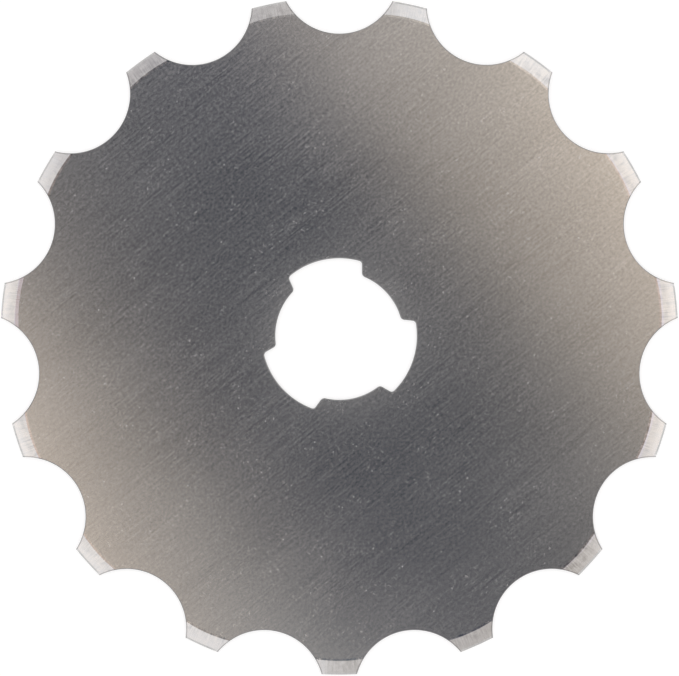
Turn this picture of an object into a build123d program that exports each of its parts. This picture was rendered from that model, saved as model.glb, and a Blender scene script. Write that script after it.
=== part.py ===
from build123d import *
import os
from math import radians, sqrt, tan

# Rotary cutter blade, punched from thin spring steel and ground to a knife edge from both faces.
# Millimetres and degrees. The underside lies on Z = 0, and the axis of the bore is the Z axis.

# The sheet and the round it is punched to
BLADE_DIAMETER = 45.0
SHEET_THICKNESS = 0.3

# Scallops that divide the rim into teeth
SCALLOP_COUNT = 15
SCALLOP_RADIUS = 3.95
SCALLOP_DEPTH = 2.45
FIRST_SCALLOP_ANGLE = 90.0
SCALLOP_EDGE_BREAK = 0.04

# The grind on each face: a shallow shoulder, the main bevel, and a steeper bevel at the cutting edge
GRIND_WIDTH = 1.05
SHOULDER_WIDTH = 0.15
SHOULDER_ANGLE = 3.5
EDGE_BEVEL_WIDTH = 0.1
EDGE_BEVEL_THICKNESS = 0.06

# The bore, with lobes that key the blade to its handle
BORE_DIAMETER = 8.5
LOBE_COUNT = 3
LOBE_DEPTH = 0.9
LOBE_WIDTH = 4.6
LOBE_SIDE_ANGLE = 12.0
LOBE_ROOT_RADIUS = 0.25
LOBE_LIP_RADIUS = 0.3
BORE_EDGE_BREAK = 0.06

# The largest share of a lobe's side that one rounded corner may take
LARGEST_CORNER_SHARE = 0.4

rim_radius = BLADE_DIAMETER / 2
bore_radius = BORE_DIAMETER / 2
lobe_radius = bore_radius + LOBE_DEPTH
scallop_pitch = 360.0 / SCALLOP_COUNT
lobe_pitch = 360.0 / LOBE_COUNT

# A lobe points to the middle of the tooth beside the first scallop
first_lobe_angle = FIRST_SCALLOP_ANGLE + scallop_pitch / 2


def ground_disc():
    """The round blank with its rim ground on both faces, before any punching."""
    flat_radius = rim_radius - GRIND_WIDTH
    shoulder_radius = flat_radius + SHOULDER_WIDTH
    shoulder_drop = SHOULDER_WIDTH * tan(radians(SHOULDER_ANGLE))
    edge_radius = rim_radius - EDGE_BEVEL_WIDTH
    mid_height = SHEET_THICKNESS / 2
    edge_height = mid_height - EDGE_BEVEL_THICKNESS / 2
    section = Polyline(
        (0, 0),
        (flat_radius, 0),
        (shoulder_radius, shoulder_drop),
        (edge_radius, edge_height),
        (rim_radius, mid_height),
        (edge_radius, SHEET_THICKNESS - edge_height),
        (shoulder_radius, SHEET_THICKNESS - shoulder_drop),
        (flat_radius, SHEET_THICKNESS),
        (0, SHEET_THICKNESS),
        close=True,
    )
    return revolve(Plane.XZ * make_face(section), Axis.Z)


def scallop_punch():
    """A round punch that flares at both faces of the sheet, which breaks the scallop's edges."""
    flare_radius = SCALLOP_RADIUS + 2 * SCALLOP_EDGE_BREAK
    section = Polyline(
        (0, -SCALLOP_EDGE_BREAK),
        (flare_radius, -SCALLOP_EDGE_BREAK),
        (SCALLOP_RADIUS, SCALLOP_EDGE_BREAK),
        (SCALLOP_RADIUS, SHEET_THICKNESS - SCALLOP_EDGE_BREAK),
        (flare_radius, SHEET_THICKNESS + SCALLOP_EDGE_BREAK),
        (0, SHEET_THICKNESS + SCALLOP_EDGE_BREAK),
        close=True,
    )
    return revolve(Plane.XZ * make_face(section), Axis.Z)


def bore_outline():
    """The bore and its lobes as one flat face, with the first lobe along +X."""
    lip = Vector(sqrt(bore_radius**2 - (LOBE_WIDTH / 2) ** 2), LOBE_WIDTH / 2)
    outward = Vector(1, 0).rotate(Axis.Z, LOBE_SIDE_ANGLE)
    side = IntersectingLine(lip, outward, CenterArc((0, 0), lobe_radius, 0, 90))
    lip_angle = (side @ 0).get_angle(Vector(1, 0))
    root_angle = (side @ 1).get_angle(Vector(1, 0))
    lobe_end = CenterArc((0, 0), lobe_radius, -root_angle, 2 * root_angle)
    land = CenterArc((0, 0), bore_radius, lip_angle, lobe_pitch - 2 * lip_angle)
    one_pitch = [mirror(side, Plane.XZ), lobe_end, side, land]
    edges = [Rot(Z=k * lobe_pitch) * edge for k in range(LOBE_COUNT) for edge in one_pitch]
    outline = make_face(Curve() + edges)

    largest_corner = LARGEST_CORNER_SHARE * side.length
    roots = outline.vertices().group_by(SortBy.DISTANCE)[-1]
    outline = fillet(roots, min(LOBE_ROOT_RADIUS, largest_corner))
    lips = outline.vertices().group_by(SortBy.DISTANCE)[0]
    return fillet(lips, min(LOBE_LIP_RADIUS, largest_corner))


def blade():
    """The blade: the ground disc less its scallops and its lobed bore."""
    pitch_radius = rim_radius - SCALLOP_DEPTH + SCALLOP_RADIUS
    scallops = PolarLocations(pitch_radius, SCALLOP_COUNT, start_angle=FIRST_SCALLOP_ANGLE)
    body = ground_disc() - scallops * scallop_punch()
    body -= Rot(Z=first_lobe_angle) * extrude(bore_outline(), SHEET_THICKNESS)
    faces = body.faces().filter_by(Plane.XY)
    bore_edges = [edge for face in faces for wire in face.inner_wires() for edge in wire.edges()]
    return chamfer(bore_edges, BORE_EDGE_BREAK)


os.makedirs("parts", exist_ok=True)
export_step(blade(), "parts/blade.step")
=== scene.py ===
import math

import bmesh
import bpy
from mathutils import Matrix


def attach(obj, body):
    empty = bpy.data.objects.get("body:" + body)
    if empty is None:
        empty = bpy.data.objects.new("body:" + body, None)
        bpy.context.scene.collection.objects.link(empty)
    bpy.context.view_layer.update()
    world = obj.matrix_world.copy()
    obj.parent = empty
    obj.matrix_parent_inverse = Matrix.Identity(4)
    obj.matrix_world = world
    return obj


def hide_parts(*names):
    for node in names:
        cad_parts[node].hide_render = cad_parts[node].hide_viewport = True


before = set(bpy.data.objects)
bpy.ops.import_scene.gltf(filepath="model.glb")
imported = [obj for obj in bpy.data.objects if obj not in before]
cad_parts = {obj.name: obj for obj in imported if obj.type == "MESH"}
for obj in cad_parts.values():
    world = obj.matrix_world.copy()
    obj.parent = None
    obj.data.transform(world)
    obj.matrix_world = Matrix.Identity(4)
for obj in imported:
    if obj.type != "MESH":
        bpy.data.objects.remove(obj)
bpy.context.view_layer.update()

# Rotary cutter blade: thin spring steel with a brushed face, a rim ground in short radial strokes,
# and punched edges. The blade is modelled in millimetres and then brought to the frame's metres.
# Angles are in degrees about +Z, from +X.

MM = 0.001
TURN = 2.0 * math.pi
UP = (0.0, 0.0, 1.0)

# The picture: the camera looks straight down on the blade, which fills it
PICTURE_WIDTH = 45.03
SENSOR_WIDTH = 36.0
FOCAL_LENGTH = 85.0
CAMERA_X = 0.013
CAMERA_Y = -0.146

# The sheet, its rim, and the lines where its grind turns, from the face to the cutting edge
SHEET = 0.3
RIM_RADIUS = 22.5
GRIND_RADIUS = 21.41
SHOULDER_RADIUS = 21.54
SHOULDER_DROP = 0.002
SHOULDER_WORN_DROP = 0.0075
EDGE_BEVEL_RADIUS = 22.39
EDGE_BEVEL_THICKNESS = 0.058
DISC_STEPS = 720

# The grind isn't quite concentric and droops at each tooth's corners, and its shoulder is worn
# on one side
GRIND_RUN_OUT = 0.059
GRIND_RUN_OUT_ANGLE = 166.6
GRIND_WAVE = 0.037
GRIND_WAVE_ANGLE = 89.2
CORNER_DROOP = 0.05
WORN_ANGLE = 174.0
WORN_REACH = 14.0
WORN_WIDTH = 0.09

# The cutting edge is honed back at each tooth's corners, between these shares of its half angle,
# at some corners less than at others
TOOTH_HALF_ANGLE = 3.6
CORNER_HONE = 0.1
HONE_START, HONE_END = 0.55, 0.95
HONE_LEAST = 0.35
HONE_TURNS = 5.0

# The scallops, and the teeth between them
SCALLOP_COUNT = 15
SCALLOP_RADIUS = 3.95
SCALLOP_PITCH_RADIUS = 24.0
FIRST_SCALLOP = 90.0
FIRST_TOOTH = 78.0
SCALLOP_BREAK = 0.05
SCALLOP_STEPS = 180

# The bore and its lobes
BORE_RADIUS = 4.25
LOBE_RADIUS = 5.15
LOBE_COUNT = 3
LOBE_WIDTH = 4.6
LOBE_SIDE = 12.0
LOBE_ROOT = 0.25
LOBE_LIP = 0.3
FIRST_LOBE = 102.0
BORE_BREAK = 0.07
END_STEPS = 16
CORNER_STEPS = 8

# A broken edge is two facets, which meet this share of its width beyond the wall and below the face
BREAK_MIDDLE = 0.3

# Points this near each other are one
JOIN = 1e-5
LOOP_JOIN = 1e-4
SAME_HEIGHT = 1e-6

# Faces meet in a crease above these angles, on the ground faces and on the walls. A ground face's
# normal points up or down by more than this.
GROUND_CREASE = 0.45
WALL_CREASE = 50.0
LEVEL_FACE = 0.9

# Material slots of the blade
FACE, GRIND, WALL = range(3)


def rgb(red, green, blue):
    return (red, green, blue, 1.0)


def unit(angle):
    """The level direction at that angle."""
    return (math.cos(math.radians(angle)), math.sin(math.radians(angle)), 0.0)


def ease(value, low, high):
    """Goes smoothly from 0 at low to 1 at high."""
    share = min(max((value - low) / (high - low), 0.0), 1.0)
    return share * share * (3.0 - 2.0 * share)


# The shape: a ground disc, cut by punches


def finished(shape, name):
    """Makes an object of the mesh, with its normals outwards."""
    bmesh.ops.remove_doubles(shape, verts=shape.verts, dist=JOIN)
    bmesh.ops.recalc_face_normals(shape, faces=shape.faces)
    mesh = bpy.data.meshes.new(name)
    shape.to_mesh(mesh)
    shape.free()
    made = bpy.data.objects.new(name, mesh)
    bpy.context.scene.collection.objects.link(made)
    return made


def turn_to(shape, angle):
    """Turns what lies along +X to that angle."""
    turn = Matrix.Rotation(math.radians(angle), 3, "Z")
    bmesh.ops.rotate(shape, verts=shape.verts, matrix=turn)


def repeat(shape, count):
    """Copies the shape round the axis, so that there are that many of it."""
    every = shape.verts[:] + shape.edges[:] + shape.faces[:]
    swing = TURN * (count - 1) / count
    bmesh.ops.spin(shape, geom=every, axis=UP, angle=swing, steps=count - 1, use_duplicate=True)


def chain(shape, section):
    """The points (radius, height) of a section, joined in a line."""
    corners = [shape.verts.new((radius, 0.0, height)) for radius, height in section]
    return corners + [shape.edges.new(pair) for pair in zip(corners, corners[1:])]


def through_sheet(section):
    """A section of the upper side, carried on down through the sheet to its mirror image."""
    return section + [(radius, SHEET - height) for radius, height in reversed(section)]


def tooth_offset(angle):
    """How far round its own tooth an angle lies: 0 at the middle and 1 or -1 where the tooth ends."""
    pitch = 360.0 / SCALLOP_COUNT
    return ((angle - FIRST_TOOTH + pitch / 2.0) % pitch - pitch / 2.0) / TOOTH_HALF_ANGLE


def grind_shift(angle):
    """How far the lines of the shoulder lie outside their mean radius."""
    run_out = GRIND_RUN_OUT * math.cos(math.radians(angle - GRIND_RUN_OUT_ANGLE))
    wave = GRIND_WAVE * math.cos(math.radians(2.0 * (angle - GRIND_WAVE_ANGLE)))
    return run_out + wave - CORNER_DROOP * tooth_offset(angle) ** 2


def wear(angle):
    """How worn the shoulder is: 1 where it is worn most, and 0 far from there."""
    away = (angle - WORN_ANGLE + 180.0) % 360.0 - 180.0
    return math.exp(-((away / WORN_REACH) ** 2))


def hone_shift(angle):
    """How far the edge bevel's inner line lies outside its mean radius."""
    along = tooth_offset(angle)
    lean = 0.5 + 0.5 * math.sin(math.radians(HONE_TURNS * angle)) * math.copysign(1.0, along)
    depth = CORNER_HONE * (HONE_LEAST + (1.0 - HONE_LEAST) * lean)
    return -depth * ease(abs(along), HONE_START, HONE_END)


def ground_disc():
    """The round blank with its rim ground on both faces."""
    shape = bmesh.new()
    middle = SHEET / 2.0
    edge_height = middle - EDGE_BEVEL_THICKNESS / 2.0
    lower = [(GRIND_RADIUS, 0.0), (SHOULDER_RADIUS, SHOULDER_DROP), (EDGE_BEVEL_RADIUS, edge_height)]
    upper = [(radius, SHEET - height) for radius, height in reversed(lower)]
    section = chain(shape, lower + [(RIM_RADIUS, middle)] + upper)
    bmesh.ops.spin(shape, geom=section, axis=UP, angle=TURN, steps=DISC_STEPS, use_merge=True)
    for face in shape.faces:
        face.material_index = GRIND
    flats = bmesh.ops.holes_fill(shape, edges=[edge for edge in shape.edges if edge.is_boundary])
    for face in flats["faces"]:
        face.material_index = FACE
    for corner in shape.verts:
        radius = math.hypot(corner.co.x, corner.co.y)
        angle = math.degrees(math.atan2(corner.co.y, corner.co.x))
        side = math.copysign(1.0, corner.co.z - middle)
        shift = 0.0
        if radius < (SHOULDER_RADIUS + EDGE_BEVEL_RADIUS) / 2.0:
            shift = grind_shift(angle)
            if radius < (GRIND_RADIUS + SHOULDER_RADIUS) / 2.0:
                shift -= WORN_WIDTH * wear(angle)
            else:
                corner.co.z -= side * SHOULDER_WORN_DROP * wear(angle)
        elif radius < (EDGE_BEVEL_RADIUS + RIM_RADIUS) / 2.0:
            shift = hone_shift(angle)
        corner.co.x *= 1.0 + shift / radius
        corner.co.y *= 1.0 + shift / radius
    return finished(shape, "blade_disc")


def punch_wall(width):
    """A punch's side as (reach beyond the hole's wall, height), breaking both edges by that width."""
    middle = BREAK_MIDDLE * width
    start = (2.0 * width - middle, SHEET + middle)
    return through_sheet([start, (middle, SHEET - middle), (0.0, SHEET - width)])


def scallop_punches(shape):
    """Round punches that leave the scallops' edges a little rounded."""
    side = [(SCALLOP_RADIUS + reach, height) for reach, height in punch_wall(SCALLOP_BREAK)]
    section = chain(shape, [(0.0, side[0][1])] + side + [(0.0, side[-1][1])])
    bmesh.ops.spin(shape, geom=section, axis=UP, angle=TURN, steps=SCALLOP_STEPS, use_merge=True)
    bmesh.ops.translate(shape, verts=shape.verts, vec=(SCALLOP_PITCH_RADIUS, 0, 0))
    turn_to(shape, FIRST_SCALLOP)
    repeat(shape, SCALLOP_COUNT)


def polar(corner):
    """The angle of a point about the axis, in radians."""
    return math.atan2(corner[1], corner[0])


def bore_loop(shape, grow, height):
    """The bore's outline from a lobe's middle to a land's, at that height and let out by grow."""
    lip_start = (math.sqrt(BORE_RADIUS**2 - (LOBE_WIDTH / 2.0) ** 2), LOBE_WIDTH / 2.0)
    along = unit(LOBE_SIDE)
    out = unit(LOBE_SIDE + 90.0)

    def centre(clear, radius):
        """The point at that distance from the lobe's side, and at that radius."""
        start = [lip_start[k] + clear * out[k] for k in (0, 1)]
        lead = start[0] * along[0] + start[1] * along[1]
        reach = math.sqrt(lead**2 - start[0] ** 2 - start[1] ** 2 + radius**2) - lead
        return (start[0] + reach * along[0], start[1] + reach * along[1], 0.0)

    root = centre(-LOBE_ROOT, LOBE_RADIUS - LOBE_ROOT)
    lip = centre(LOBE_LIP, BORE_RADIUS + LOBE_LIP)

    def arc(corner, about, angle, steps):
        swept = bmesh.ops.spin(shape, geom=[corner], cent=about, axis=UP, angle=angle, steps=steps)
        return next(made for made in swept["geom_last"] if isinstance(made, bmesh.types.BMVert))

    corner = shape.verts.new((LOBE_RADIUS + grow, 0.0, height))
    corner = arc(corner, (0, 0, 0), polar(root), END_STEPS)
    corner = arc(corner, root, polar(out) - polar(root), CORNER_STEPS)
    lip_reach = LOBE_LIP - grow
    next_corner = shape.verts.new((lip[0] - lip_reach * out[0], lip[1] - lip_reach * out[1], height))
    shape.edges.new((corner, next_corner))
    corner = arc(next_corner, lip, polar(lip) - polar(out), CORNER_STEPS)
    arc(corner, (0, 0, 0), math.pi / LOBE_COUNT - polar(lip), END_STEPS)


def bore_punch():
    """The bore's punch, which leaves its edges a little rounded."""
    side = punch_wall(BORE_BREAK)
    shape = bmesh.new()
    for reach, height in side:
        bore_loop(shape, reach, height)
    bmesh.ops.mirror(shape, geom=shape.verts[:] + shape.edges[:], merge_dist=JOIN, axis="Y")
    repeat(shape, LOBE_COUNT)
    bmesh.ops.remove_doubles(shape, verts=shape.verts, dist=LOOP_JOIN)

    def level(edge, height):
        return all(abs(corner.co.z - height) < SAME_HEIGHT for corner in edge.verts)

    heights = [height for _, height in side]
    for upper, lower in zip(heights, heights[1:]):
        pair = [edge for edge in shape.edges if level(edge, upper) or level(edge, lower)]
        bmesh.ops.bridge_loops(shape, edges=pair)
    bmesh.ops.holes_fill(shape, edges=[edge for edge in shape.edges if edge.is_boundary])
    turn_to(shape, FIRST_LOBE)
    return shape


def punches():
    """All the punches as one object."""
    shape = bmesh.new()
    scallop_punches(shape)
    bore = bore_punch()
    middle = bpy.data.meshes.new("bore_punch")
    bore.to_mesh(middle)
    bore.free()
    shape.from_mesh(middle)
    for face in shape.faces:
        face.material_index = WALL
    return finished(shape, "punches")


def fine_blade():
    """The finished blade: the ground disc less its punches, with creases between its faces."""
    disc = ground_disc()
    cutters = punches()
    cut = disc.modifiers.new("punched", "BOOLEAN")
    cut.operation = "DIFFERENCE"
    cut.object = cutters
    cut.solver = "EXACT"
    graph = bpy.context.evaluated_depsgraph_get()
    mesh = bpy.data.meshes.new_from_object(disc.evaluated_get(graph))
    for used in (disc, cutters):
        bpy.data.objects.remove(used)
    shape = bmesh.new()
    shape.from_mesh(mesh)
    bmesh.ops.dissolve_degenerate(shape, edges=shape.edges, dist=JOIN)
    for face in shape.faces:
        face.smooth = True
    for edge in shape.edges:
        level = all(abs(face.normal.z) > LEVEL_FACE for face in edge.link_faces)
        limit = GROUND_CREASE if level else WALL_CREASE
        edge.smooth = edge.calc_face_angle() < math.radians(limit)
    bmesh.ops.scale(shape, verts=shape.verts, vec=(MM, MM, MM))
    shape.to_mesh(mesh)
    shape.free()
    mesh.name = "blade_ground"
    blade = bpy.data.objects.new("blade_ground", mesh)
    bpy.context.scene.collection.objects.link(blade)
    return blade


# The looks: node graphs for the light and for the steel


class Value:
    """One output socket. Python's operators on it add Math nodes."""

    def __init__(self, graph, socket):
        self.graph = graph
        self.socket = socket

    def math(self, operation, *others):
        return self.graph.math(operation, self, *others)

    def __add__(self, other):
        return self.graph.math("ADD", self, other)

    def __radd__(self, other):
        return self.graph.math("ADD", other, self)

    def __sub__(self, other):
        return self.graph.math("SUBTRACT", self, other)

    def __rsub__(self, other):
        return self.graph.math("SUBTRACT", other, self)

    def __mul__(self, other):
        return self.graph.math("MULTIPLY", self, other)

    def __rmul__(self, other):
        return self.graph.math("MULTIPLY", other, self)

    def __truediv__(self, other):
        return self.graph.math("DIVIDE", self, other)

    def __pow__(self, other):
        return self.graph.math("POWER", self, other)

    def __neg__(self):
        return self.graph.math("MULTIPLY", self, -1.0)

    def __abs__(self):
        return self.graph.math("ABSOLUTE", self)


class Graph:
    """The node tree of a material or of the world."""

    def __init__(self, owner):
        owner.use_nodes = True
        self.tree = owner.node_tree
        self.tree.nodes.clear()

    def add(self, kind, settings=None, inputs=None, output=0):
        """Adds a node, makes its settings, sets or links its inputs, and returns one of its outputs."""
        node = self.tree.nodes.new(kind)
        for name, setting in (settings or {}).items():
            setattr(node, name, setting)
        for key, given in (inputs or {}).items():
            if isinstance(given, Value):
                self.tree.links.new(given.socket, node.inputs[key])
            else:
                node.inputs[key].default_value = given
        return Value(self, node.outputs[output]) if len(node.outputs) else None

    def math(self, operation, *operands):
        return self.add("ShaderNodeMath", {"operation": operation}, dict(enumerate(operands)))

    def dot(self, vector, direction):
        both = {0: vector, 1: direction}
        return self.add("ShaderNodeVectorMath", {"operation": "DOT_PRODUCT"}, both, "Value")

    def smooth_step(self, value, low, high):
        """Goes smoothly from 0 at low to 1 at high."""
        limits = {"Value": value, "From Min": low, "From Max": high}
        return self.add("ShaderNodeMapRange", {"interpolation_type": "SMOOTHSTEP"}, limits)

    def mix_colour(self, factor, first, second, blend="MIX"):
        settings = {"data_type": "RGBA", "blend_type": blend}
        return self.add("ShaderNodeMix", settings, {"Factor": factor, 6: first, 7: second}, 2)

    def noise(self, vector, detail=0.0):
        """Noise about 0, with that many levels of finer noise in it."""
        inputs = {"Vector": vector, "Scale": 1.0, "Detail": detail}
        return self.add("ShaderNodeTexNoise", None, inputs, "Fac") - 0.5

    def parts(self, vector):
        split = self.add("ShaderNodeSeparateXYZ", None, {"Vector": vector})
        return [Value(self, output) for output in split.socket.node.outputs]

    def radius(self, place):
        """The distance from the blade's axis."""
        x, y, _ = self.parts(place)
        return (x * x + y * y).math("SQRT")

    def beyond_scallop(self, place):
        """How far a place lies from the wall of the nearest scallop."""
        x, y, _ = self.parts(place)
        pitch = TURN / SCALLOP_COUNT
        turn = self.math("ARCTAN2", y, x) - math.radians(FIRST_SCALLOP)
        turn = turn.math("WRAP", pitch / 2.0, -pitch / 2.0)
        radius = self.radius(place)
        aside = radius * turn.math("SINE")
        inward = radius * turn.math("COSINE") - SCALLOP_PITCH_RADIUS * MM
        return (aside * aside + inward * inward).math("SQRT") - SCALLOP_RADIUS * MM

    def marks(self, place, size, angle, detail=0.0, layer=0.0):
        """Noise about 0, in marks of that length and width in millimetres, which lie at that angle."""
        inputs = {
            "Vector": place,
            "Location": (0.0, 0.0, layer * MM),
            "Rotation": (0.0, 0.0, math.radians(angle)),
            "Scale": (size[0] * MM, size[1] * MM, MARK_LAYER * MM),
        }
        return self.noise(self.add("ShaderNodeMapping", {"vector_type": "TEXTURE"}, inputs), detail)

    def specks(self, place):
        """Scattered round specks of different sizes: 1 in the middle of each and 0 between them."""
        cells = {"Vector": place, "Scale": 1.0 / (SPECK_SPACING * MM)}
        cell = self.add("ShaderNodeTexVoronoi", None, cells, "Distance")
        chance = self.parts(Value(self, cell.socket.node.outputs["Color"]))[0]
        size = self.smooth_step(chance, SPECKLESS_SHARE, 1.0) * SPECK_SIZE + SPECK_LEAST
        return (1.0 - cell * SPECK_SPACING / size).math("MAXIMUM", 0.0)

    def shade(self, colour, tone):
        """The colour made lighter or darker by the tone, where 1 leaves it as it is."""
        both = {0: colour, "Scale": tone}
        return self.add("ShaderNodeVectorMath", {"operation": "SCALE"}, both, "Vector")

    def relief(self, height, depth):
        """The surface's direction where the height stands out by that depth in millimetres."""
        inputs = {"Height": height, "Distance": depth * MM, "Strength": 1.0}
        return self.add("ShaderNodeBump", None, inputs)


# The studio's light goes by a ray's slope: how far it leans from straight up, as sideways over upwards.
# The studio doesn't show in the photograph, so its light is a guess. A least-squares search set the
# shade, the strip, the tent down to its sides, and the patches, so that the blade's tones match.
# A ray lower than this counts as no lower.
LEAST_HEIGHT = 0.02

# The camera overhead is taken for a dark shape, with a longer strip of half shade behind it
CAMERA_SHADE_ANGLE = 125.9
CAMERA_SHADE_OFFSET = -0.011
CAMERA_SHADE_SHIFT = -0.025
CAMERA_SHADE_RIGHT = 0.117
CAMERA_SHADE_LEFT = 0.129
CAMERA_SHADE_LENGTH = 0.346
CAMERA_SHADE_POWER = 10.0
SHADE_COLOUR = rgb(0.0, 0.016, 0.04)
STRIP_ANGLE = 113.8
STRIP_OFFSET = 0.001
STRIP_WIDTH = 0.252
STRIP_LENGTH = 0.61
STRIP_POWER = 12.0
STRIP_END_POWER = 4.0
STRIP_COLOUR = rgb(0.418, 0.349, 0.278)

# The tent's colour overhead, at the sides, and low down by the horizon, with the slopes between them
TENT_NEAR = 0.374
TENT_FAR = 0.478
TENT_OVERHEAD = rgb(2.25, 1.83, 1.44)
TENT_SIDES = rgb(1.35, 1.34, 1.39)
HORIZON_NEAR = 0.62
HORIZON_FAR = 0.85
TENT_HORIZON = rgb(0.9, 0.91, 0.93)

# Soft patches that the search added, which stand for no known thing: the angle and slope where each
# lies, how far it reaches, and what the light's colour is multiplied by there
PATCHES = (
    (119.0, 0.34, 0.174, rgb(0.5, 0.61, 0.935)),
    (282.0, 0.241, 0.166, rgb(0.5, 0.82, 1.39)),
    (75.4, 0.297, 0.128, rgb(2.13, 2.46, 2.8)),
)

# The studio's walls are invented for the other views: four bright screens with dim gaps between them,
# which the blade reflects only at a low slant
WALL_ANGLE = 22.5
WALL_NEAR = 0.95
WALL_FAR = 1.7
WALL_GAP = 0.65

WHITE = rgb(1.0, 1.0, 1.0)


def studio_light():
    """A bright tent all round, with the camera as a dark shape overhead and a strip of half shade."""
    world = bpy.data.worlds.new("studio")
    bpy.context.scene.world = world
    graph = Graph(world)
    ray = graph.add("ShaderNodeTexCoord", output="Generated")
    height = graph.dot(ray, UP).math("MAXIMUM", LEAST_HEIGHT)

    def slopes(angle):
        """The ray's slope towards the right of that angle, and along it."""
        right = unit(angle - 90.0)
        return graph.dot(ray, right) / height, graph.dot(ray, unit(angle)) / height

    across, along = slopes(WALL_ANGLE)
    slope = (across * across + along * along).math("SQRT")
    turn = along * along / (slope * slope)
    gaps = 4.0 * turn * (1.0 - turn) * graph.smooth_step(slope, WALL_NEAR, WALL_FAR)
    light = graph.mix_colour(graph.smooth_step(slope, TENT_NEAR, TENT_FAR), TENT_OVERHEAD, TENT_SIDES)
    light = graph.mix_colour(graph.smooth_step(slope, HORIZON_NEAR, HORIZON_FAR), light, TENT_HORIZON)
    light = graph.mix_colour(gaps * WALL_GAP, light, SHADE_COLOUR)

    across, along = slopes(STRIP_ANGLE)
    across = abs(across - STRIP_OFFSET) / STRIP_WIDTH
    along = abs(along) / STRIP_LENGTH
    strip = (-(across**STRIP_POWER + along**STRIP_END_POWER)).math("EXPONENT")
    light = graph.mix_colour(strip, light, STRIP_COLOUR)

    across, along = slopes(CAMERA_SHADE_ANGLE)
    on_right = across.math("GREATER_THAN", CAMERA_SHADE_OFFSET)
    width = on_right * (CAMERA_SHADE_RIGHT - CAMERA_SHADE_LEFT) + CAMERA_SHADE_LEFT
    across = abs(across - CAMERA_SHADE_OFFSET) / width
    along = abs(along - CAMERA_SHADE_SHIFT) / CAMERA_SHADE_LENGTH
    reach = (across * across + along * along) ** (CAMERA_SHADE_POWER / 2.0)
    light = graph.mix_colour((-reach).math("EXPONENT"), light, SHADE_COLOUR)

    for angle, lean, reach, tint in PATCHES:
        across, along = slopes(angle)
        along = along - lean
        away = (across * across + along * along) / reach**2
        light = graph.mix_colour((-away).math("EXPONENT"), light, tint, "MULTIPLY")
    seen = graph.add("ShaderNodeLightPath", output="Is Camera Ray")
    light = graph.mix_colour(seen, light, WHITE)
    background = graph.add("ShaderNodeBackground", None, {"Color": light, "Strength": 1.0})
    graph.add("ShaderNodeOutputWorld", None, {"Surface": background})


# The floor, its radius in metres, lies just under the blade, and glows so that it shows as white
FLOOR_RADIUS = 3.0
FLOOR_STEPS = 64
FLOOR_GAP = 0.01
FLOOR_GREY = rgb(0.45, 0.45, 0.45)
FLOOR_GLOW = 0.66


def white_floor():
    """A plain white floor that keeps the blade's shadow."""
    shape = bmesh.new()
    bmesh.ops.create_circle(shape, cap_ends=True, segments=FLOOR_STEPS, radius=FLOOR_RADIUS)
    bmesh.ops.translate(shape, verts=shape.verts, vec=(0.0, 0.0, -FLOOR_GAP * MM))
    mesh = bpy.data.meshes.new("floor")
    shape.to_mesh(mesh)
    shape.free()
    floor = bpy.data.objects.new("floor", mesh)
    bpy.context.scene.collection.objects.link(floor)
    material = bpy.data.materials.new("floor_white")
    graph = Graph(material)
    paper = graph.add("ShaderNodeBsdfDiffuse", None, {"Color": FLOOR_GREY})
    camera_ray = graph.add("ShaderNodeLightPath", output="Is Camera Ray")
    glossy_ray = graph.add("ShaderNodeLightPath", output="Is Glossy Ray")
    lift = camera_ray.math("MAXIMUM", glossy_ray) * FLOOR_GLOW
    glow = graph.add("ShaderNodeEmission", None, {"Color": WHITE, "Strength": lift})
    both = graph.add("ShaderNodeAddShader", None, {0: paper, 1: glow})
    graph.add("ShaderNodeOutputMaterial", None, {"Surface": both})
    mesh.materials.append(material)


STEEL = (0.56, 0.55, 0.53)

# How many levels of finer noise the marks have
FINE_DETAIL, SOME_DETAIL, SLIGHT_DETAIL = 3.0, 2.0, 1.0

# How far the marks' noise reaches through the sheet, so that the two faces differ
MARK_LAYER = 0.1

# The polish smears reflections across this direction, which a search set too
BRUSH_ANGLE = 43.1

# The marks of the polish: their length along the strokes and their width across them, in millimetres
STROKE_ANGLE = 39.0
GRAIN = (0.21, 0.17)
STROKE = (1.4, 0.11)
LONG_STROKE = (5.0, 0.15)
LONG_STROKE_SHARE = 0.9
SCRATCH = (0.4, 0.09)
SCRATCH_ANGLES = (STROKE_ANGLE, 92.0, 147.0)
CLUSTER = (2.2, 1.7)
CLUSTER_LOW, CLUSTER_HIGH = -0.05, 0.15
CLUSTER_LEAST = 0.3
BUNDLE = (4.0, 1.6)
BUNDLE_LOW, BUNDLE_HIGH = -0.12, 0.16
BUNDLE_LEAST = 0.7
BAND = (30.0, 0.7)
CLOUD = (7.0, 5.0)
SPECK_SPACING = 0.5
SPECK_SIZE = 0.13
SPECK_LEAST = 1e-6
SPECKLESS_SHARE = 0.3

# How strongly each kind of mark tells in the steel's colour, and in its roughness
FACE_ROUGHNESS = 0.2
GRAIN_TONE, GRAIN_ROUGHNESS = 0.31, 0.44
STROKE_TONE, STROKE_ROUGHNESS = 0.085, 0.185
BAND_TONE, BAND_ROUGHNESS = 0.04, 0.05
CLOUD_TONE, CLOUD_ROUGHNESS = 0.06, 0.08
SPECK_TONE, SPECK_ROUGHNESS = 0.13, 0.075
SCRATCH_TONE, SCRATCH_ROUGHNESS = 0.09, 0.055
SCRATCH_ONSET, SCRATCH_FULL = 0.2, 0.32
STROKE_DEPTH = 0.0006

# The marks are coarser towards this side of the blade, by this share for each millimetre
COARSE_ANGLE = 80.0
COARSENING = 0.017

# The face is scuffed round the bore, where the handle's hub rubs
SCUFF_REACH = 1.4
SCUFF_ROUGHNESS = 0.058

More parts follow.
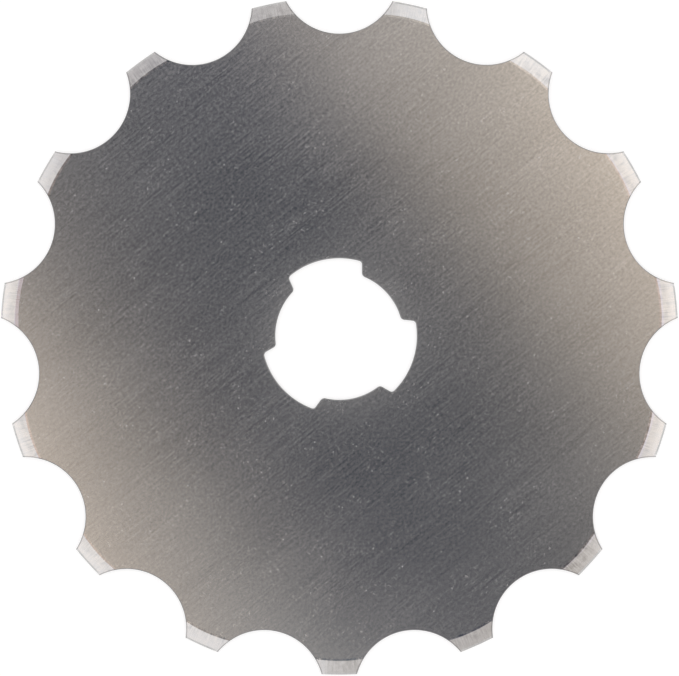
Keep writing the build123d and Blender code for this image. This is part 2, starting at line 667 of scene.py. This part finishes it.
# The grind's strokes: their width round the rim and their length across it, in millimetres
RIM_ROUGHNESS = 0.2
RIM_STROKE = (0.09, 0.8)
RIM_CLOUD = 0.4
RIM_TONE = 0.46
RIM_CLOUD_TONE = 0.4
RIM_STROKE_DEPTH = 0.0004

# Towards the cutting edge the grind is burnished, which makes its marks fainter. On the teeth towards
# the sides, a painted highlight makes the grind lighter towards the cutting edge, with painted shade
# further in
BURNISH_AND_SHEEN_RADII = (21.7, 22.3)
BURNISH_FADE = 0.5
RIM_SHEEN_TONE = 0.2

# Painted shade darkens the grind in a thin line along the scallops
SCALLOP_SHADE_WIDTH = 0.1
SCALLOP_SHADE_CORE = SCALLOP_SHADE_WIDTH / 3.0
SCALLOP_SHADE_TONE = 0.42

# The shoulder between face and grind is worn on one side, where it is rougher. Its cooler grey there,
# and by this share towards the sides, is a painted reflection: it stands in for the cooler light that
# the shoulder reflects
COOL_REFLECTION_STEEL = (0.55, 0.53, 0.585)
SHOULDER_REFLECTION_SHARE = 0.6
SHOULDER_RADII = (21.54, 21.6)
WORN_ROUGHNESS = 0.12
WORN_LOW, WORN_HIGH = 0.93, 0.99

# The walls' scores run down through the sheet
WALL_STEEL = (0.32, 0.315, 0.31)
WALL_ROUGHNESS = 0.35
SCORE_WIDTH = 0.06
SCORE_LENGTH = 0.8
SCORE_TONE = 0.3
SCORE_DEPTH = 0.001


def steel_material(name, graph_of):
    """A steel whose colour, roughness and other inputs come from the function that gets its graph."""
    material = bpy.data.materials.new(name)
    graph = Graph(material)
    inputs = {"Metallic": 1.0}
    inputs.update(graph_of(graph, graph.add("ShaderNodeTexCoord", output="Object")))
    surface = graph.add("ShaderNodeBsdfPrincipled", None, inputs)
    graph.add("ShaderNodeOutputMaterial", None, {"Surface": surface})
    return material


def brushed_face(graph, place):
    """The sheet's face, polished in long strokes that come in bundles, with specks and scratches."""
    bundles = graph.marks(place, BUNDLE, STROKE_ANGLE)
    bundles = graph.smooth_step(bundles, BUNDLE_LOW, BUNDLE_HIGH) + BUNDLE_LEAST
    clusters = graph.marks(place, CLUSTER, STROKE_ANGLE)
    clusters = graph.smooth_step(clusters, CLUSTER_LOW, CLUSTER_HIGH)
    clusters = CLUSTER_LEAST + (1.0 - CLUSTER_LEAST) * clusters
    strokes = graph.marks(place, STROKE, STROKE_ANGLE, FINE_DETAIL)
    long_strokes = graph.marks(place, LONG_STROKE, STROKE_ANGLE, SLIGHT_DETAIL)
    strokes = (strokes + LONG_STROKE_SHARE * long_strokes) * bundles
    grain = graph.marks(place, GRAIN, STROKE_ANGLE, FINE_DETAIL)
    bands = graph.marks(place, BAND, STROKE_ANGLE, SOME_DETAIL)
    cloud = graph.marks(place, CLOUD, STROKE_ANGLE)
    scratches = 0.0
    for layer, angle in enumerate(SCRATCH_ANGLES, start=1):
        found = graph.marks(place, SCRATCH, angle, layer=layer)
        scratches = scratches + graph.smooth_step(found, SCRATCH_ONSET, SCRATCH_FULL)

    coarse = 1.0 + graph.dot(place, unit(COARSE_ANGLE)) / MM * COARSENING
    strokes, grain = strokes * coarse, grain * coarse
    specks, scratches = graph.specks(place) * clusters, scratches * clusters

    tone = 1.0 + GRAIN_TONE * grain + STROKE_TONE * strokes + BAND_TONE * bands + CLOUD_TONE * cloud
    tone = tone + SPECK_TONE * specks + SCRATCH_TONE * scratches
    roughness = 1.0 + GRAIN_ROUGHNESS * grain + STROKE_ROUGHNESS * strokes + BAND_ROUGHNESS * bands
    roughness = FACE_ROUGHNESS * (roughness + CLOUD_ROUGHNESS * cloud)
    beyond_bore = graph.radius(place) / MM - BORE_RADIUS
    scuff = (-beyond_bore / SCUFF_REACH).math("EXPONENT") * SCUFF_ROUGHNESS
    roughness = roughness + scuff + SPECK_ROUGHNESS * specks + SCRATCH_ROUGHNESS * scratches
    across = unit(BRUSH_ANGLE + 90.0)
    return {
        "Base Color": graph.shade(STEEL, tone),
        "Roughness": roughness,
        "Anisotropic": 1.0,
        "Tangent": graph.add("ShaderNodeCombineXYZ", None, {"X": across[0], "Y": across[1]}),
        "Normal": graph.relief(strokes + grain, STROKE_DEPTH),
    }


def ground_rim(graph, place):
    """The grind, in short radial strokes."""
    x, y, z = graph.parts(place)
    radius = graph.radius(place)
    width, length = RIM_STROKE
    round_rim = RIM_RADIUS / width
    turned = {
        "X": x / radius * round_rim,
        "Y": y / radius * round_rim,
        "Z": radius / (length * MM) + z / (SHEET * MM),
    }
    strokes = graph.noise(graph.add("ShaderNodeCombineXYZ", None, turned), SOME_DETAIL)
    cloud = graph.marks(place, (RIM_CLOUD, RIM_CLOUD), 0.0, SLIGHT_DETAIL)
    burnish_and_sheen = graph.smooth_step(radius, BURNISH_AND_SHEEN_RADII[0] * MM, BURNISH_AND_SHEEN_RADII[1] * MM)
    marks = (RIM_TONE * strokes + RIM_CLOUD_TONE * cloud) * (1.0 - BURNISH_FADE * burnish_and_sheen)
    sideways = (x / radius) * (x / radius)
    # Painted shade: the grind is darker in a thin line along the scallops
    scallop_shade = 1.0 - graph.smooth_step(graph.beyond_scallop(place) / MM, SCALLOP_SHADE_CORE, SCALLOP_SHADE_WIDTH)
    # Painted highlight and shade: on the teeth towards the sides the tone is lighter near the cutting
    # edge and darker further in
    tone = (1.0 + RIM_SHEEN_TONE * sideways * (burnish_and_sheen - 0.5) + marks) * (1.0 - SCALLOP_SHADE_TONE * scallop_shade)
    shoulder = 1.0 - graph.smooth_step(radius, SHOULDER_RADII[0] * MM, SHOULDER_RADII[1] * MM)
    worn = shoulder * graph.smooth_step(graph.dot(place, unit(WORN_ANGLE)) / radius, WORN_LOW, WORN_HIGH)
    # Painted reflection: a cooler grey on the worn shoulder and towards the sides
    cool_reflection = worn.math("MAXIMUM", SHOULDER_REFLECTION_SHARE * shoulder * sideways)
    colour = graph.mix_colour(cool_reflection, rgb(*STEEL), rgb(*COOL_REFLECTION_STEEL))
    return {
        "Base Color": graph.shade(colour, tone),
        "Roughness": RIM_ROUGHNESS * (1.0 + strokes + cloud) + WORN_ROUGHNESS * worn,
        "Normal": graph.relief(strokes, RIM_STROKE_DEPTH),
    }


def punched_wall(graph, place):
    """The walls that the punches left, scored down through the sheet."""
    size = (SCORE_WIDTH * MM, SCORE_WIDTH * MM, SCORE_LENGTH * MM)
    turned = graph.add("ShaderNodeMapping", {"vector_type": "TEXTURE"}, {"Vector": place, "Scale": size})
    scores = graph.noise(turned, FINE_DETAIL)
    return {
        "Base Color": graph.shade(WALL_STEEL, 1.0 + SCORE_TONE * scores),
        "Roughness": WALL_ROUGHNESS * (1.0 + scores),
        "Normal": graph.relief(scores, SCORE_DEPTH),
    }


def camera():
    """Straight above the blade, as far off as the lens needs for the picture's width."""
    data = bpy.data.cameras.new("camera")
    data.sensor_width = SENSOR_WIDTH
    data.lens = FOCAL_LENGTH
    data.clip_start = MM
    made = bpy.data.objects.new("camera", data)
    distance = PICTURE_WIDTH * FOCAL_LENGTH / SENSOR_WIDTH
    made.location = (CAMERA_X * MM, CAMERA_Y * MM, (SHEET + distance) * MM)
    bpy.context.scene.collection.objects.link(made)
    bpy.context.scene.camera = made


bpy.context.scene.view_settings.view_transform = "Standard"
studio_light()
white_floor()
camera()
blade = fine_blade()
for finish in (brushed_face, ground_rim, punched_wall):
    blade.data.materials.append(steel_material(finish.__name__, finish))
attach(blade, "root")
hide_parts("blade")
